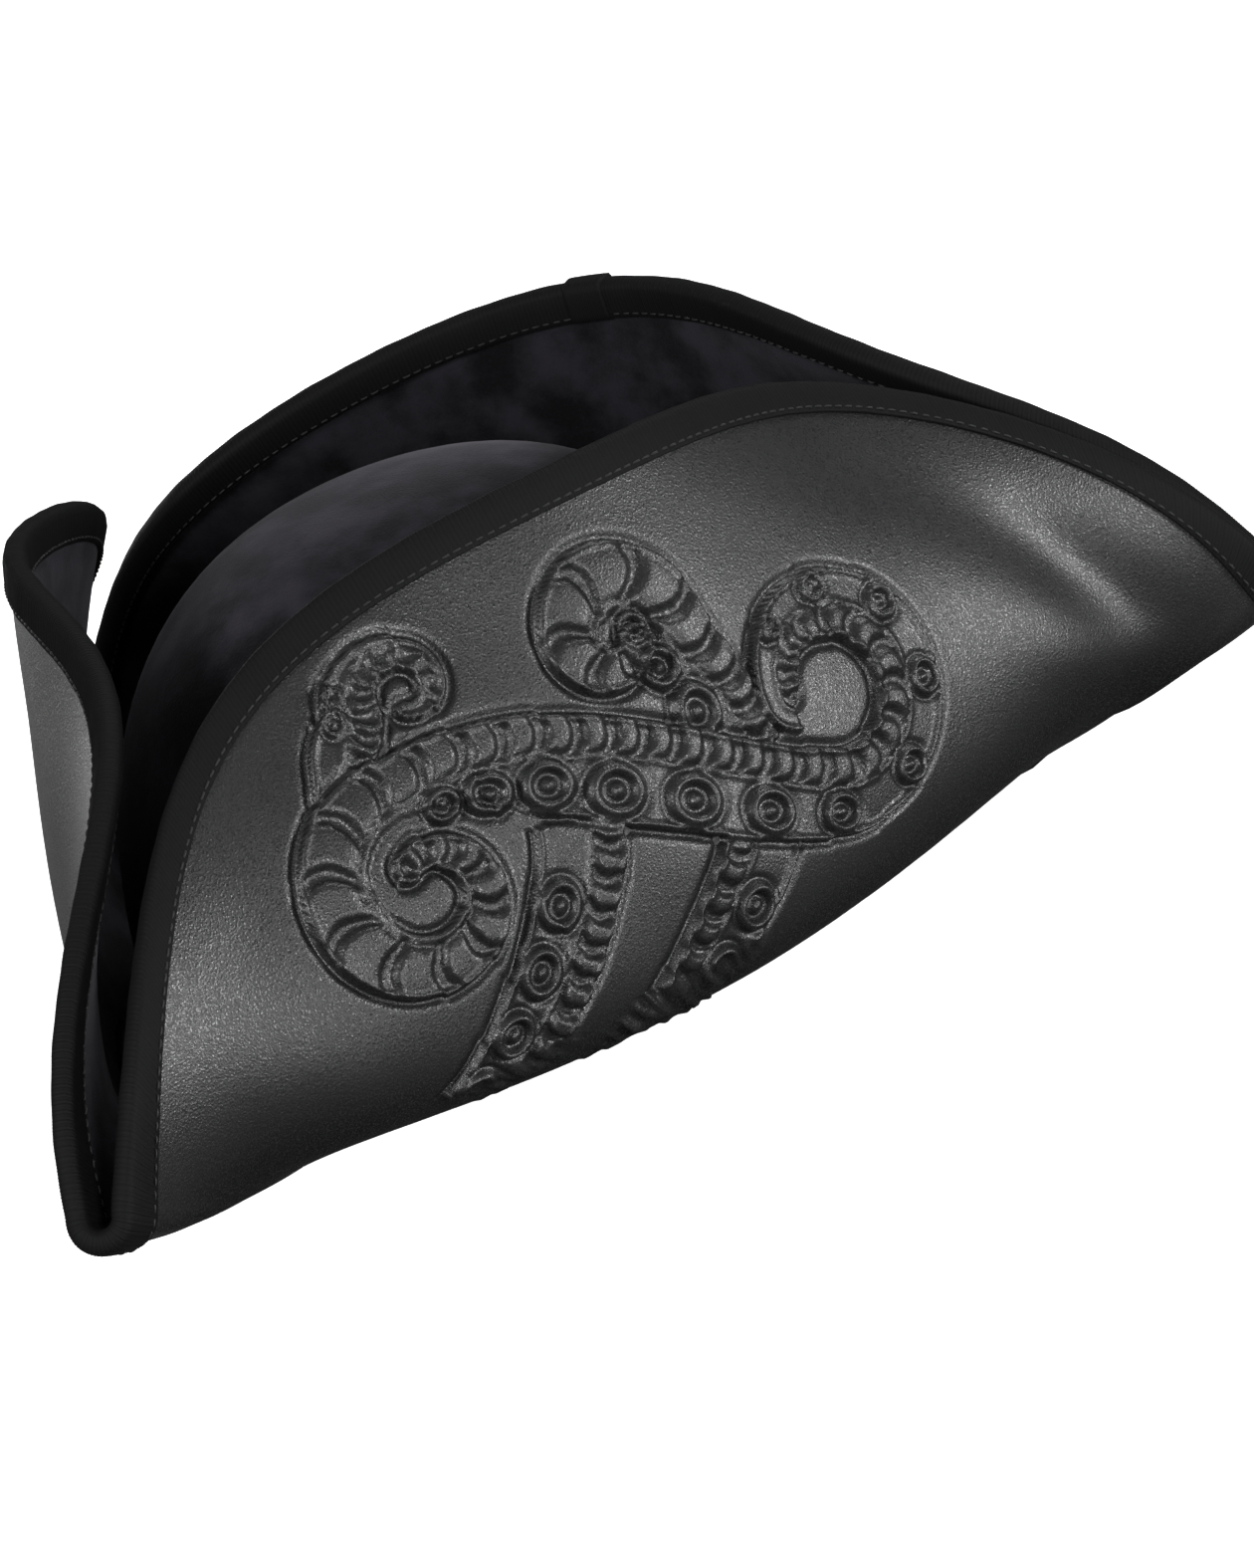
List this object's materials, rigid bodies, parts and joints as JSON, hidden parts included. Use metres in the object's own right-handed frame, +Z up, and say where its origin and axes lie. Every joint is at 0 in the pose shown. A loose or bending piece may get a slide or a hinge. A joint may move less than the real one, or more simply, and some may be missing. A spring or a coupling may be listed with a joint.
{
  "type": "tricorne hat",
  "caption": "Three-cornered costume hat: a laminated brim turned up in three panels round a domed crown, with a bound edge and an inner band, worn on the head.",
  "frame": {"origin": "centre of the hat's bounding box, on the plane of the brim's flat underside; the crown's axis stands 40 mm behind it, at +Y", "axes": "+Z up through the crown; the wearer faces -Y, towards the front corner; +X is the wearer's left"},
  "size_m": [0.3758, 0.3488, 0.1311],
  "materials": {
    "satin_leather": "satin, finely grained, raised ornament",
    "foam": "closed-cell foam sheet",
    "suede": "napped suede cloth",
    "grosgrain": "ribbed ribbon",
    "felt": "stiffened felt",
    "lining_satin": "satin lining",
    "cotton_tape": "twill band",
    "sewing_thread": "polyester thread",
    "woven_label": "plain woven tape"
  },
  "bodies": {
    "root": {"brim_leather_facing": "satin_leather", "brim_foam_core": "foam", "brim_suede_facing": "suede", "edge_binding": "grosgrain", "binding_overlap": "grosgrain", "binding_outer_thread": "sewing_thread", "binding_inner_thread": "sewing_thread", "crown_cover": "suede", "crown_stiffener": "felt", "crown_lining": "lining_satin", "crown_seam_thread": "sewing_thread", "sweatband": "cotton_tape", "sweatband_thread": "sewing_thread", "sweatband_bow": "grosgrain", "size_label": "woven_label"}
  },
  "joints": []
}
